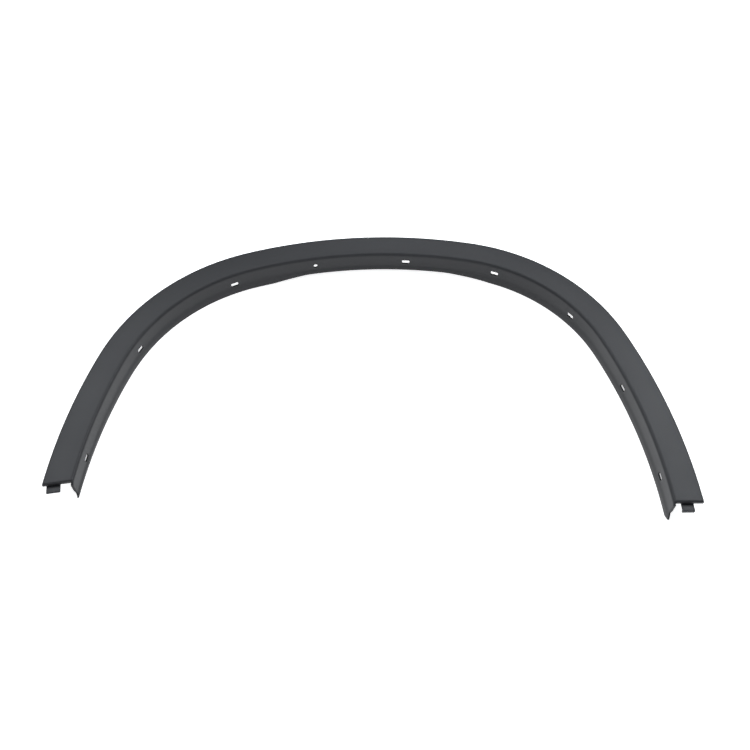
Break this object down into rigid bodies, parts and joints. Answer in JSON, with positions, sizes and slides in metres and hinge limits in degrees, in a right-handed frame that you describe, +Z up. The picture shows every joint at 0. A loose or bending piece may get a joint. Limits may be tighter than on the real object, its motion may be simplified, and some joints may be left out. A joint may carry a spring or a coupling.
{
  "type": "wheel arch trim",
  "caption": "Dark moulded L-section strip that edges a car's wheel opening: a smooth face band, an inner flange with clip slots, and a stepped tongue at each end.",
  "frame": {"origin": "on the surface the strip lies on, below the middle of its bounding box", "axes": "+X along the car towards the strip's front end, +Y from the two ends towards the crown, +Z up, out of the car's side"},
  "size_m": [0.9308, 0.5312, 0.0416],
  "materials": {
    "trim_plastic": "fine grained charcoal polypropylene, matt to satin"
  },
  "bodies": {
    "root": {"arch_trim": "trim_plastic"}
  },
  "joints": []
}
